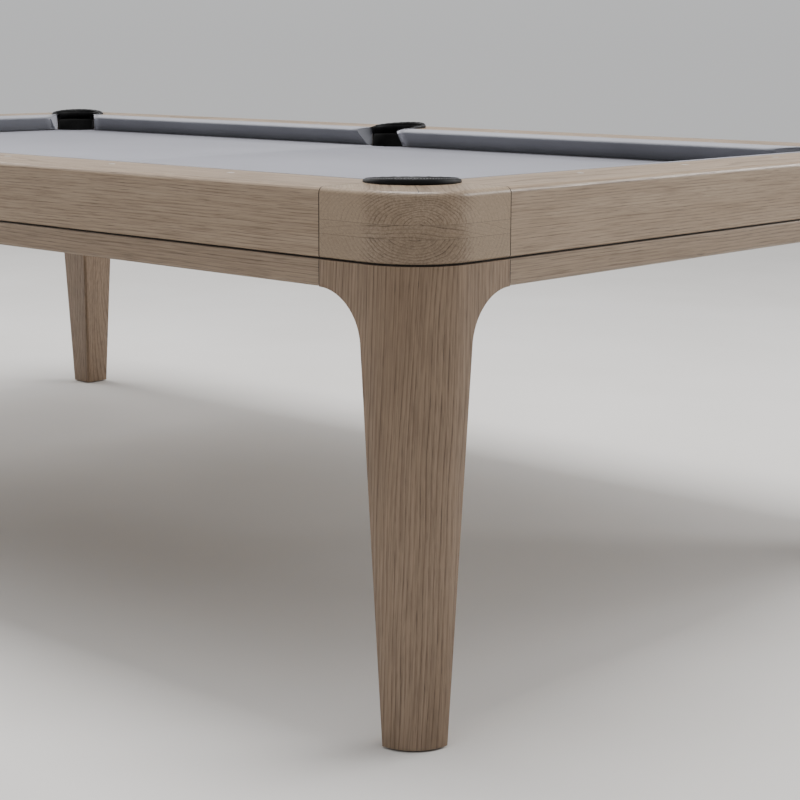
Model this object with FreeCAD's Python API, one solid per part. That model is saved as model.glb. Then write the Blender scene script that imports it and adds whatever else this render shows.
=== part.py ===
import FreeCAD
import Part
import math
import os

# Pool table: oak rails and legs, slate bed, six drop pockets, four levelling feet.
# Millimetres.  X runs along the table, Y across it, Z up; the origin is on the floor
# under the middle of the table.

# ------------------------------------------------------------------ driving sizes
# Playing field, from cushion nose to cushion nose
play_length = 2336.0
play_width = 1168.0

# Heights above the floor
rail_top = 800.0
rail_face_height = 100.0
groove_height = 3.0
apron_height = 39.0

# Rails: a vertical face board under a flat top board
rail_wood_width = 144.0
cushion_depth = 48.0
rail_face_step = 2.0
rail_edge_radius = 10.0
rail_lower_edge = 2.0
corner_radius = 98.0
groove_depth = 8.0
seam_gap = 1.0
seam_depth = 8.0

# Bed
bed_drop = 42.0
cloth_thickness = 1.0
slate_thickness = 25.0
slate_inset_share = 0.625
slate_seam = 0.4
liner_thickness = 18.0
liner_width = 80.0

# Cushions
nose_height = 36.5
nose_undercut = 24.0
nose_top_setback = 2.0
nose_top_rise = 1.2
nose_front_drop = 0.8
nose_lip_setback = 1.0
nose_lip_drop = 4.0
toe_height = 6.0
toe_slope = 5.0
cushion_base_gap = 1.5
strip_width = 6.0
strip_depth = 10.0
strip_clearance = 0.2
strip_end_gap = 3.0
cloth_overlap = 1.0
facing_thickness = 3.0

# Pockets
pocket_radius = 59.0
boot_wall = 3.0
boot_depth = 150.0
boot_taper = 8.0
boot_taper_height = 90.0
boot_lip_drop = 15.0
boot_mouth_drop = 6.0
corner_rim_width = 13.0
side_rim_width = 8.0
rim_rise = 13.5
rim_lean = 5.7
rim_round_share = 0.4
rim_end_lap = 5.0
corner_setback = 33.0
side_setback = 74.0
corner_mouth_spare = 25.0
side_mouth_gap = 0.84
corner_facing_angle = 142.0
side_facing_angle = 104.0
wood_hole_clearance = 1.0
slate_hole_clearance = 2.0
boot_clearance = 4.0

# Aprons and frame timbers; the apron takes its share of the room outside a side pocket
side_pocket_clearance = 2.5
apron_share = 28.0 / 53.5
apron_lower_radius = 6.0
apron_top_bevel = 1.5
beam_lift = 4.0
cross_beam_width = 45.0
seam_beam_width = 80.0
pocket_beam_gap = 7.0

# Legs
leg_foot_reach = 78.0
leg_foot_inset = 12.0
leg_taper_angle = 3.4
leg_edge_radius = 8.0
leg_floor_gap = 3.0
leg_cutter_spare = 10.0

# Levelling feet
pad_radius = 20.0
pad_height = 11.0
pad_edge = 2.0
pad_sole = 4.0
recess_clearance = 2.5
stud_radius = 5.0
stud_length = 54.0
stud_tip_chamfer = 1.0
stud_hole_gap = 1.0
stud_collar_radius = 7.0
stud_collar_height = 4.0
stud_clearance = 0.08
insert_flange_radius = 14.0
insert_flange_height = 3.0
insert_radius = 9.0
insert_length = 36.0
leveller_travel = 20.0
stud_hole_spare = 4.0
foot_wall = 4.0

# Sights, bolts, screws and plates
sight_radius = 6.0
sight_thickness = 3.0
sight_proud = 0.15
sight_from_nose = 93.7
fit_gap = 0.1
rail_bolt_radius = 5.0
rail_bolt_head = 6.0
rail_bolt_flange_radius = 10.0
rail_bolt_flange = 2.0
rail_bolt_across = 13.0
rail_bolt_cover = 15.0
rail_bolt_inset = 30.0
rail_bolt_shares = (0.21, 0.51, 0.82)
end_bolt_share = 0.6
plate_thickness = 4.0
plate_length = 60.0
plate_margin = 10.0
plate_screw_share = 0.25
bracket_thickness = 5.0
bracket_length = 32.0
bracket_width = 30.0
bracket_margin = 2.0
bracket_screw_share = 0.62
beam_screw_cover = 2.5
lag_radius = 4.0
lag_length = 45.0
lag_head = 5.5
lag_head_radius = 7.0
lag_offset = 16.0
screw_radius = 2.5
screw_length = 28.0
screw_head = 2.5
screw_head_radius = 5.0
bracket_screw_pitch = 16.0
slate_screw_row_share = 1.5
slate_screw_radius = 3.0
slate_screw_length = 58.0
slate_screw_head_radius = 6.0
slate_screw_head = 3.5

# ------------------------------------------------------------------ derived sizes
band = rail_wood_width + cushion_depth
table_length = play_length + 2 * band
table_width = play_width + 2 * band
half_length = table_length / 2
half_width = table_width / 2

rail_bottom = rail_top - rail_face_height
apron_top = rail_bottom - groove_height
apron_bottom = apron_top - apron_height
bed_top = rail_top - bed_drop
slate_inset = slate_inset_share * rail_wood_width
slate_top = bed_top - cloth_thickness
slate_bottom = slate_top - slate_thickness
beam_top = slate_bottom - liner_thickness
beam_bottom = apron_bottom + beam_lift

boot_radius = pocket_radius + boot_wall
wood_hole = boot_radius + wood_hole_clearance
slate_hole = boot_radius + slate_hole_clearance
clear_hole = boot_radius + boot_clearance
corner_pocket = band - corner_setback
side_pocket = band - side_setback
boot_bottom = rail_top - boot_depth
corner_mouth_cut = pocket_radius + corner_mouth_spare

cushion_back = rail_wood_width + strip_width
skirt_radius = boot_radius + wood_hole_clearance / 2
side_skirt_reach = math.sqrt(skirt_radius ** 2 - (cushion_back - side_pocket) ** 2)
side_facing_shift = (band - cushion_back) / math.tan(math.radians(180 - side_facing_angle))
side_mouth_half = side_skirt_reach + side_facing_shift + side_mouth_gap
beam_inner = side_pocket - boot_radius - side_pocket_clearance
apron_thickness = apron_share * beam_inner
rail_face_thickness = apron_thickness - rail_face_step
beam_screw_length = beam_inner - apron_thickness + bracket_thickness - beam_screw_cover
sight_line = band - sight_from_nose
rail_bolt_line = slate_inset + rail_bolt_inset
slate_length = table_length - 2 * slate_inset
slate_width = table_width - 2 * slate_inset
slate_joint = slate_length / 6
end_beam_x = half_length - corner_pocket - boot_radius - pocket_beam_gap - cross_beam_width / 2
pocket_beam_x = boot_radius + pocket_beam_gap + cross_beam_width / 2

foot_centre = leg_foot_reach - (leg_foot_reach - leg_foot_inset) * (math.sqrt(2) - 1)
pad_recess = pad_radius + recess_clearance

UP = FreeCAD.Vector(0, 0, 1)
CORNERS = {
    "front_left": (-1, -1),
    "front_right": (1, -1),
    "rear_left": (-1, 1),
    "rear_right": (1, 1),
}


# ------------------------------------------------------------------ basic shapes
def vec(x, y, z):
    return FreeCAD.Vector(x, y, z)


def block(x0, x1, y0, y1, z0, z1):
    return Part.makeBox(x1 - x0, y1 - y0, z1 - z0, vec(x0, y0, z0))


def post(x, y, radius, z0, z1):
    return Part.makeCylinder(radius, z1 - z0, vec(x, y, z0), UP)


def prism(points, height):
    """Upright prism on a closed outline of straight sides."""
    face = Part.Face(Part.makePolygon(points + [points[0]]))
    return face.extrude(vec(0, 0, height))


def face_of(edges):
    return Part.Face(Part.Wire(Part.__sortEdges__(edges)))


def line(a, b):
    return Part.LineSegment(a, b).toShape()


def arc(a, middle, b):
    return Part.Arc(a, middle, b).toShape()


def on_circle(centre, radius, angle):
    """Point on a circle in the (depth, height) plane, which is Y and Z here."""
    turn = math.radians(angle)
    return vec(0, centre[0] + radius * math.cos(turn), centre[1] + radius * math.sin(turn))


# ------------------------------------------------------------------ placing
# Corner shapes are drawn with the table's outer corner at (0, 0) and the table in the
# +X, +Y quarter.  Edge shapes are drawn along X with their middle at X = 0, and with
# Y as the depth inward from the outer face.
def to_corner(shape, corner):
    side_x, side_y = CORNERS[corner]
    moved = shape.translated(vec(-half_length, -half_width, 0))
    if side_x > 0:
        moved = moved.mirror(vec(0, 0, 0), vec(1, 0, 0))
    if side_y > 0:
        moved = moved.mirror(vec(0, 0, 0), vec(0, 1, 0))
    return moved


def to_edge(shape, edge):
    moved = shape.copy()
    if edge in ("left", "right"):
        moved.rotate(vec(0, 0, 0), UP, -90)
        moved.translate(vec(-half_length, 0, 0))
    else:
        moved.translate(vec(0, -half_width, 0))
    if edge == "right":
        moved = moved.mirror(vec(0, 0, 0), vec(1, 0, 0))
    if edge == "rear":
        moved = moved.mirror(vec(0, 0, 0), vec(0, 1, 0))
    return moved


def edge_span(edge):
    return table_width if edge in ("left", "right") else table_length


def has_side_pocket(edge):
    return edge in ("front", "rear")


def pocket_places(edge):
    """Pocket centres along one edge, in that edge's own frame."""
    reach = edge_span(edge) / 2 - corner_pocket
    places = [(-reach, corner_pocket), (reach, corner_pocket)]
    if has_side_pocket(edge):
        places.append((0, side_pocket))
    return places


def cut_pockets(shape, edge, radius, z0, z1):
    for x, y in pocket_places(edge):
        shape = shape.cut(post(x, y, radius, z0, z1))
    return shape


# ------------------------------------------------------------------ rails
def open_seam(shape, x, toward, outer_z, top_z):
    """Cut back the end at x by half the seam, in a shell behind the visible faces."""
    x0 = min(x, x + toward * seam_gap / 2)
    x1 = max(x, x + toward * seam_gap / 2)
    shape = shape.cut(block(x0, x1, -1, seam_depth, outer_z, top_z + 1))
    return shape.cut(block(x0, x1, -1, band, top_z - seam_depth, top_z + 1))


def rail_section(x):
    """Cross-section of a rail: face board, rounded edge, top board, strip groove."""
    radius = rail_edge_radius
    lip = rail_lower_edge
    crown = on_circle((radius, rail_top - radius), radius, 135)
    path = [
        vec(0, lip, rail_bottom),
        vec(0, rail_face_thickness, rail_bottom),
        vec(0, rail_face_thickness, bed_top),
        vec(0, cushion_back, bed_top),
        vec(0, cushion_back, rail_top - strip_depth),
        vec(0, rail_wood_width, rail_top - strip_depth),
        vec(0, rail_wood_width, rail_top),
        vec(0, radius, rail_top),
    ]
    edges = [line(a, b) for a, b in zip(path, path[1:])]
    edges.append(arc(path[-1], crown, vec(0, 0, rail_top - radius)))
    edges.append(line(vec(0, 0, rail_top - radius), vec(0, 0, rail_bottom + lip)))
    edges.append(line(vec(0, 0, rail_bottom + lip), path[0]))
    face = face_of(edges)
    face.translate(vec(x, 0, 0))
    return face


def rail(edge):
    reach = edge_span(edge) / 2 - band
    body = rail_section(-reach).extrude(vec(2 * reach, 0, 0))
    body = cut_pockets(body, edge, wood_hole, rail_bottom - 1, rail_top + 1)
    for side in (-1, 1):
        body = open_seam(body, side * reach, -side, rail_bottom - 1, rail_top)
    for x in sight_stations(edge):
        body = body.cut(post(x, sight_line, sight_radius + fit_gap,
                             rail_top - sight_thickness, rail_top + 1))
    for x in bolt_stations(edge):
        body = body.cut(post(x, rail_bolt_line, rail_bolt_radius + fit_gap,
                             bed_top - 1, rail_top - rail_bolt_cover + fit_gap))
    for x, y in plate_screw_places(edge):
        body = body.cut(post(x, y, screw_radius + fit_gap,
                             bed_top - 1, screw_tip_z() + fit_gap))
    return body


def rounded_outline(inset, reach, radius, z):
    """Edges from (reach, inset) round the outer corner to (inset, reach)."""
    turn = inset + radius
    middle = turn - radius * math.sqrt(0.5)
    return [
        line(vec(reach, inset, z), vec(turn, inset, z)),
        arc(vec(turn, inset, z), vec(middle, middle, z), vec(inset, turn, z)),
        line(vec(inset, turn, z), vec(inset, reach, z)),
    ]


def outer_edges(shape, z):
    """Edges at height z that lie on the two outer faces or on the rounded corner."""
    chosen = []
    for edge in shape.Edges:
        box = edge.BoundBox
        if abs(box.ZMin - z) > 0.01 or abs(box.ZMax - z) > 0.01:
            continue
        middle = edge.valueAt((edge.FirstParameter + edge.LastParameter) / 2)
        past_corner = middle.x > corner_radius or middle.y > corner_radius
        on_face = min(middle.x, middle.y) < 0.01
        near_arc = not past_corner and middle.x + middle.y < corner_radius
        if on_face or near_arc:
            chosen.append(edge)
    return chosen


def corner_block():
    outline = rounded_outline(0, band, corner_radius, rail_bottom)
    path = [
        vec(0, band, rail_bottom),
        vec(rail_wood_width, band, rail_bottom),
        vec(rail_wood_width, rail_wood_width, rail_bottom),
        vec(band, rail_wood_width, rail_bottom),
        vec(band, 0, rail_bottom),
    ]
    outline += [line(a, b) for a, b in zip(path, path[1:])]
    body = face_of(outline).extrude(vec(0, 0, rail_face_height))
    body = body.makeFillet(rail_edge_radius, outer_edges(body, rail_top))
    body = body.makeChamfer(rail_lower_edge, outer_edges(body, rail_bottom))

    inside = band + 1
    hollow = rounded_outline(rail_face_thickness, inside,
                             corner_radius - rail_face_thickness, rail_bottom - 1)
    hollow.append(line(vec(rail_face_thickness, inside, rail_bottom - 1),
                       vec(inside, inside, rail_bottom - 1)))
    hollow.append(line(vec(inside, inside, rail_bottom - 1),
                       vec(inside, rail_face_thickness, rail_bottom - 1)))
    body = body.cut(face_of(hollow).extrude(vec(0, 0, bed_top - rail_bottom + 1)))
    body = body.cut(post(corner_pocket, corner_pocket, wood_hole,
                         rail_bottom - 1, rail_top + 1))

    body = open_seam(body, band, -1, rail_bottom - 1, rail_top)
    body = swap_xy(open_seam(swap_xy(body), band, -1, rail_bottom - 1, rail_top))
    for x, y in block_screw_places():
        body = body.cut(post(x, y, screw_radius + fit_gap,
                             bed_top - 1, screw_tip_z() + fit_gap))
    return body


def swap_xy(shape):
    return shape.mirror(vec(0, 0, 0), vec(1, -1, 0))


# ------------------------------------------------------------------ aprons
def apron(edge):
    reach = edge_span(edge) / 2 - band
    radius = apron_lower_radius
    bevel = apron_top_bevel
    turn = on_circle((radius, apron_bottom + radius), radius, 225)
    path = [
        vec(-reach, radius, apron_bottom),
        vec(-reach, apron_thickness, apron_bottom),
        vec(-reach, apron_thickness, rail_bottom),
        vec(-reach, groove_depth, rail_bottom),
        vec(-reach, groove_depth, apron_top),
        vec(-reach, bevel, apron_top),
        vec(-reach, 0, apron_top - bevel),
        vec(-reach, 0, apron_bottom + radius),
    ]
    edges = [line(a, b) for a, b in zip(path, path[1:])]
    edges.append(arc(path[-1], vec(-reach, turn.y, turn.z), path[0]))
    body = face_of(edges).extrude(vec(2 * reach, 0, 0))
    for side in (-1, 1):
        x0 = min(side * reach, side * (reach - seam_gap / 2))
        body = body.cut(block(x0, x0 + seam_gap / 2, -1, seam_depth,
                              apron_bottom - 1, apron_top + 1))
    return body


# ------------------------------------------------------------------ legs
def leg_envelope():
    """Outer faces of the leg, tapering inward from the apron down to the foot."""
    foot_radius = leg_foot_reach - leg_foot_inset
    sections = []
    for inset, radius, z in ((leg_foot_inset, foot_radius, leg_floor_gap),
                             (0, corner_radius, apron_bottom)):
        edges = rounded_outline(inset, band, radius, z)
        edges.append(line(vec(inset, band, z), vec(band, band, z)))
        edges.append(line(vec(band, band, z), vec(band, inset, z)))
        sections.append(Part.Wire(Part.__sortEdges__(edges)))
    return Part.makeLoft(sections, True, True)


def leg_side_cutter():
    """Space beside the leg: a straight taper below a quarter-round flare."""
    taper = math.radians(leg_taper_angle)
    reach_at_floor = leg_foot_reach * math.cos(taper)
    flare = ((band * math.cos(taper) - reach_at_floor - apron_bottom * math.sin(taper))
             / (1 - math.sin(taper)))
    centre_z = apron_bottom - flare
    touch_x = band - flare * math.cos(taper)
    touch_z = centre_z + flare * math.sin(taper)
    middle = math.radians(135 - leg_taper_angle / 2)
    bend = vec(band + flare * math.cos(middle), -1, centre_z + flare * math.sin(middle))
    below = -leg_cutter_spare
    far = band + leg_cutter_spare
    edges = [
        line(vec(leg_foot_reach + below * math.tan(taper), -1, below),
             vec(touch_x, -1, touch_z)),
        arc(vec(touch_x, -1, touch_z), bend, vec(band, -1, apron_bottom)),
        line(vec(band, -1, apron_bottom), vec(far, -1, apron_bottom)),
        line(vec(far, -1, apron_bottom), vec(far, -1, below)),
        line(vec(far, -1, below), vec(leg_foot_reach + below * math.tan(taper), -1, below)),
    ]
    return face_of(edges).extrude(vec(0, band + 2, 0))


def leg_block(inset, z0, z1):
    edges = rounded_outline(inset, band, corner_radius - inset, z0)
    edges.append(line(vec(inset, band, z0), vec(band, band, z0)))
    edges.append(line(vec(band, band, z0), vec(band, inset, z0)))
    return face_of(edges).extrude(vec(0, 0, z1 - z0))


def inner_leg_edges(shape):
    """The edge where the two inner faces of the leg meet, on the diagonal."""
    chosen = []
    for edge in shape.Edges:
        middle = edge.valueAt((edge.FirstParameter + edge.LastParameter) / 2)
        rises = edge.BoundBox.ZLength > leg_edge_radius
        inner = middle.x > foot_centre
        if rises and inner and abs(middle.x - middle.y) < 0.01:
            chosen.append(edge)
    return chosen


def leg():
    body = leg_envelope()
    cutter = leg_side_cutter()
    body = body.cut(cutter).cut(swap_xy(cutter))
    body = body.makeFillet(leg_edge_radius, inner_leg_edges(body))
    body = body.fuse(leg_block(0, apron_bottom, apron_top))
    body = body.fuse(leg_block(groove_depth, apron_top, rail_bottom))
    body = body.removeSplitter()
    body = body.cut(post(corner_pocket, corner_pocket, clear_hole,
                         boot_bottom - boot_clearance, rail_top))
    recess_top = pad_height + insert_flange_height
    body = body.cut(post(foot_centre, foot_centre, pad_recess, -1, recess_top))
    body = body.cut(post(foot_centre, foot_centre, insert_radius + fit_gap,
                         0, recess_top + insert_length + fit_gap))
    body = body.cut(post(foot_centre, foot_centre, stud_radius + stud_hole_gap,
                         0, pad_sole + stud_length + stud_hole_spare))
    lag_hole = lag_shank(lag_radius + fit_gap, lag_length + fit_gap)
    return body.cut(lag_hole).cut(swap_xy(lag_hole))


# ------------------------------------------------------------------ levelling feet
def leveller_pad():
    body = post(foot_centre, foot_centre, pad_radius, 0, pad_height)
    rim = [edge for edge in body.Edges if edge.Curve.TypeId == "Part::GeomCircle"]
    body = body.makeChamfer(pad_edge, rim)
    cavity_top = pad_sole + stud_collar_height
    body = body.cut(post(foot_centre, foot_centre, stud_collar_radius + stud_clearance,
                         pad_sole - stud_clearance, cavity_top + stud_clearance))
    return body.cut(post(foot_centre, foot_centre, stud_radius + stud_clearance,
                         cavity_top, pad_height + 1))


def leveller_stud():
    collar = post(foot_centre, foot_centre, stud_collar_radius,
                  pad_sole, pad_sole + stud_collar_height)
    shank = post(foot_centre, foot_centre, stud_radius, pad_sole, pad_sole + stud_length)
    tip = [edge for edge in shank.Edges if edge.BoundBox.ZMin > pad_sole + 1
           and edge.Curve.TypeId == "Part::GeomCircle"]
    return shank.makeChamfer(stud_tip_chamfer, tip).fuse(collar).removeSplitter()


def leveller_insert():
    recess_top = pad_height + insert_flange_height
    flange = post(foot_centre, foot_centre, insert_flange_radius, pad_height, recess_top)
    sleeve = post(foot_centre, foot_centre, insert_radius,
                  recess_top, recess_top + insert_length)
    bore = post(foot_centre, foot_centre, stud_radius + stud_clearance,
                0, recess_top + insert_length + 1)
    return flange.fuse(sleeve).removeSplitter().cut(bore)


# ------------------------------------------------------------------ frame timbers
def long_beam(edge):
    """Beam behind an apron, from leg to leg."""
    reach = edge_span(edge) / 2 - band
    body = block(-reach, reach, apron_thickness, beam_inner, beam_bottom, beam_top)
    for x, z in bracket_screw_places(edge):
        body = body.cut(bracket_screw_hole(x, z))
    return body


def cross_beam_places():
    """Middle and width of each cross beam."""
    places = []
    for side in (-1, 1):
        places.append((side * end_beam_x, cross_beam_width))
        places.append((side * slate_joint, seam_beam_width))
        places.append((side * pocket_beam_x, cross_beam_width))
    return places


def cross_beams():
    reach = half_width - beam_inner
    beams = []
    for x, width in cross_beam_places():
        beam = block(x - width / 2, x + width / 2, -reach, reach, beam_bottom, beam_top)
        beams.append(cut_slate_screws(beam))
    return Part.makeCompound(beams)


# ------------------------------------------------------------------ slate bed
def bed_edges():
    return ("front", "rear", "left", "right")


def cut_bed_pockets(shape, radius, z0, z1):
    """Cut the six pocket openings, and square off the four corners beyond them."""
    for corner in CORNERS:
        hole = post(corner_pocket, corner_pocket, radius, z0, z1)
        hole = hole.fuse(block(-1, corner_pocket, -1, corner_pocket, z0, z1))
        shape = shape.cut(to_corner(hole, corner))
    for edge in ("front", "rear"):
        shape = shape.cut(to_edge(post(0, side_pocket, radius, z0, z1), edge))
    return shape


def slate_limits():
    """X limits of the three slates, with a fine gap at each joint."""
    joints = (-slate_length / 2, -slate_joint, slate_joint, slate_length / 2)
    gaps = (0, slate_seam / 2, slate_seam / 2, 0)
    return [(joints[i] + gaps[i], joints[i + 1] - gaps[i + 1]) for i in range(3)]


def slate(index):
    x0, x1 = slate_limits()[index]
    body = block(x0, x1, -slate_width / 2, slate_width / 2, slate_bottom, slate_top)
    body = cut_bed_pockets(body, slate_hole, slate_bottom - 1, slate_top + 1)
    body = cut_rail_bolts(body)
    return cut_slate_screws(body)


def bed_cloth():
    body = block(-slate_length / 2, slate_length / 2, -slate_width / 2, slate_width / 2,
                 slate_top, bed_top)
    body = cut_bed_pockets(body, slate_hole, slate_top - 1, bed_top + 1)
    return cut_rail_bolts(body)


def liner_strips():
    """Strips between the beams and the slate: along the edges and over each beam."""
    outer = slate_width / 2
    inner = outer - liner_width
    end_inner = slate_length / 2 - liner_width
    pocket_clear_x = half_length - corner_pocket - clear_hole
    pocket_clear_y = half_width - corner_pocket - clear_hole
    limits = (-pocket_clear_x, -slate_joint, -clear_hole,
              clear_hole, slate_joint, pocket_clear_x)
    spans = ((0, 1), (1, 2), (3, 4), (4, 5))
    plans = []
    for first, last in spans:
        plans.append((limits[first], limits[last], -outer, -inner))
        plans.append((limits[first], limits[last], inner, outer))
    for x, width in cross_beam_places():
        plans.append((x - width / 2, x + width / 2, -inner, inner))
    plans.append((-slate_length / 2, -end_inner, -pocket_clear_y, pocket_clear_y))
    plans.append((end_inner, slate_length / 2, -pocket_clear_y, pocket_clear_y))
    return [block(x0, x1, y0, y1, beam_top, slate_bottom) for x0, x1, y0, y1 in plans]


def slate_liners():
    done = []
    for strip in liner_strips():
        done.append(cut_slate_screws(cut_rail_bolts(strip)))
    return Part.makeCompound(done)


# ------------------------------------------------------------------ cushions
def facing_slope(angle):
    """Shift along the rail for each millimetre of depth, for a facing angle."""
    return 1 / math.tan(math.radians(180 - angle))


def cushion_ends(edge):
    """For each cushion of an edge: its two ends as (x at nose, shift per depth)."""
    corner_x = edge_span(edge) / 2 - band - corner_mouth_cut
    corner_shift = facing_slope(corner_facing_angle)
    if not has_side_pocket(edge):
        return [((-corner_x, -corner_shift), (corner_x, corner_shift))]
    side_shift = facing_slope(side_facing_angle)
    return [
        ((-corner_x, -corner_shift), (-side_mouth_half, side_shift)),
        ((side_mouth_half, -side_shift), (corner_x, corner_shift)),
    ]


def cushion_section():
    base = bed_top + cushion_base_gap
    nose = bed_top + nose_height
    toe = band - nose_undercut
    return [
        vec(0, cushion_back, base),
        vec(0, cushion_back, rail_top - cloth_overlap),
        vec(0, band - nose_top_setback, nose + nose_top_rise),
        vec(0, band, nose - nose_front_drop),
        vec(0, band - nose_lip_setback, nose - nose_lip_drop),
        vec(0, toe, bed_top + toe_height),
        vec(0, toe - toe_slope, base),
    ]


def cushion_plan(left, right):
    """Upright prism between two slanting ends, given as (x at nose, shift)."""
    depth = band - cushion_back
    points = [
        vec(left[0], band, bed_top),
        vec(left[0] + left[1] * depth, cushion_back, bed_top),
        vec(right[0] + right[1] * depth, cushion_back, bed_top),
        vec(right[0], band, bed_top),
    ]
    return prism(points, bed_drop)


def shifted(end, toward):
    """Move a slanting end along the rail by one facing's thickness."""
    return (end[0] + toward * facing_thickness * math.hypot(1, end[1]), end[1])


def cushion_bar(edge):
    points = cushion_section()
    face = Part.Face(Part.makePolygon(points + [points[0]]))
    reach = edge_span(edge) / 2
    face.translate(vec(-reach, 0, 0))
    return face.extrude(vec(2 * reach, 0, 0))


def cushions(edge):
    bar = cushion_bar(edge)
    return [bar.common(cushion_plan(shifted(left, 1), shifted(right, -1)))
            for left, right in cushion_ends(edge)]


def cushion_facings():
    pads = []
    for edge in bed_edges():
        bar = cushion_bar(edge)
        for left, right in cushion_ends(edge):
            pads.append(to_edge(bar.common(cushion_plan(left, shifted(left, 1))), edge))
            pads.append(to_edge(bar.common(cushion_plan(shifted(right, -1), right)), edge))
    return Part.makeCompound(pads)


def hole_half_width(depth_from_centre):
    return math.sqrt(wood_hole ** 2 - depth_from_centre ** 2)


def feather_strips():
    """Thin wooden strips that lock the cloth into its groove in the rail."""
    strips = []
    for edge in bed_edges():
        corner_x = (edge_span(edge) / 2 - corner_pocket - strip_end_gap
                    - hole_half_width(corner_pocket - cushion_back))
        spans = [(-corner_x, corner_x)]
        if has_side_pocket(edge):
            side_x = hole_half_width(rail_wood_width - side_pocket) + strip_end_gap
            spans = [(-corner_x, -side_x), (side_x, corner_x)]
        for x0, x1 in spans:
            strip = block(x0, x1, rail_wood_width + strip_clearance,
                          cushion_back - strip_clearance,
                          rail_top - strip_depth, rail_top - cloth_overlap)
            strips.append(to_edge(strip, edge))
    return Part.makeCompound(strips)


# ------------------------------------------------------------------ pockets
def rim_angles(corner):
    """Start and sweep, in degrees, of a pocket's rim, clear of the cushions."""
    setback = corner_pocket if corner else side_pocket
    reach = pocket_radius if corner else pocket_radius + side_rim_width
    lift = math.degrees(math.asin((cushion_back + rim_end_lap - setback) / reach))
    if corner:
        return 90 - lift, 270 + 2 * lift
    return 180 - lift, 180 + 2 * lift


def turned(points, start, sweep):
    """Turn a closed outline in the (radius, height) plane about the Z axis."""
    edges = [line(a, b) for a, b in zip(points, points[1:] + points[:1])]
    face = face_of(edges)
    face.rotate(vec(0, 0, 0), UP, start)
    return face.revolve(vec(0, 0, 0), UP, sweep)


def above_lean(corner, outer):
    """Space above a plane that meets the rim's outermost point and falls inward."""
    away = -math.sqrt(0.5) if corner else -1
    across = -away if corner else 0
    crown = rail_top + rim_rise
    pivot = vec(outer * (away if corner else 0), outer * away, crown)
    span = 4 * outer
    space = block(-span, span, -span, span, crown, crown + span)
    space.rotate(pivot, vec(away, across, 0), rim_lean)
    return space


def crown_edges(shape):
    """The inner and outer edges of the leaning top face."""
    top = max(shape.Faces, key=lambda face: face.CenterOfMass.z)
    return [edge for edge in top.Edges if edge.Curve.TypeId != "Part::GeomLine"]


def pocket_rim(corner):
    """Rounded rim on the rail top, highest at the outside, with a skirt in the hole."""
    start, sweep = rim_angles(corner)
    width = corner_rim_width if corner else side_rim_width
    outer = pocket_radius + width
    root = rail_top - 2 * rim_rise
    roll = turned([
        vec(pocket_radius, 0, root),
        vec(outer, 0, root),
        vec(outer, 0, rail_top + 2 * rim_rise),
        vec(pocket_radius, 0, rail_top + 2 * rim_rise),
    ], start, sweep)
    roll = roll.cut(above_lean(corner, outer))
    roll = roll.makeFillet(rim_round_share * width, crown_edges(roll))
    span = 2 * outer
    roll = roll.cut(block(-span, span, -span, span, root - 1, rail_top))

    low = rail_top - boot_lip_drop
    sleeve = turned([
        vec(pocket_radius, 0, low),
        vec(skirt_radius, 0, low),
        vec(skirt_radius, 0, rail_top),
        vec(pocket_radius, 0, rail_top),
    ], start, sweep)
    return roll.fuse(sleeve).removeSplitter()


def pocket_boot(corner):
    start, sweep = rim_angles(corner)
    mouth = slate_top - boot_mouth_drop
    foot = boot_radius - boot_taper
    cup = [
        vec(0, 0, boot_bottom),
        vec(foot, 0, boot_bottom),
        vec(boot_radius, 0, boot_bottom + boot_taper_height),
        vec(boot_radius, 0, mouth),
        vec(pocket_radius, 0, mouth),
        vec(pocket_radius, 0, boot_bottom + boot_taper_height),
        vec(foot - boot_wall, 0, boot_bottom + boot_wall),
        vec(0, 0, boot_bottom + boot_wall),
    ]
    back = [
        vec(pocket_radius, 0, mouth),
        vec(boot_radius, 0, mouth),
        vec(boot_radius, 0, rail_top - boot_lip_drop),
        vec(pocket_radius, 0, rail_top - boot_lip_drop),
    ]
    body = turned(cup, 0, 360).fuse(turned(back, start, sweep))
    return body.removeSplitter()


def to_pocket(shape, name):
    """Put a pocket piece, drawn about the Z axis, at one of the six pockets."""
    if name in CORNERS:
        return to_corner(shape.translated(vec(corner_pocket, corner_pocket, 0)), name)
    edge = name.split("_")[0]
    return to_edge(shape.translated(vec(0, side_pocket, 0)), edge)


# ------------------------------------------------------------------ sights and bolts
def sight_stations(edge):
    """Sights divide the playing length in eight and the width in four."""
    pitch = (play_length if has_side_pocket(edge) else play_width)
    pitch = pitch / (8 if has_side_pocket(edge) else 4)
    count = 3 if has_side_pocket(edge) else 1
    stations = [step * pitch for step in range(-count, count + 1)]
    if has_side_pocket(edge):
        stations.remove(0)
    return stations


def rail_sights():
    discs = []
    for edge in bed_edges():
        for x in sight_stations(edge):
            disc = post(x, sight_line, sight_radius,
                        rail_top - sight_thickness, rail_top + sight_proud)
            discs.append(to_edge(disc, edge))
    return Part.makeCompound(discs)


def bolt_stations(edge):
    if not has_side_pocket(edge):
        reach = play_width / 2 * end_bolt_share
        return [-reach, 0, reach]
    shares = [-share for share in rail_bolt_shares] + list(rail_bolt_shares)
    return [share * play_length / 2 for share in shares]


def cut_rail_bolts(shape):
    radius = rail_bolt_radius + fit_gap
    for edge in bed_edges():
        for x in bolt_stations(edge):
            hole = post(x, rail_bolt_line, radius, beam_top - 1, bed_top + 1)
            shape = shape.cut(to_edge(hole, edge))
    return shape


def hexagon(across, x, y, z0, z1):
    reach = across / math.sqrt(3)
    points = [vec(x + reach * math.cos(math.radians(60 * i)),
                  y + reach * math.sin(math.radians(60 * i)), z0) for i in range(6)]
    return prism(points, z1 - z0)


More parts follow.
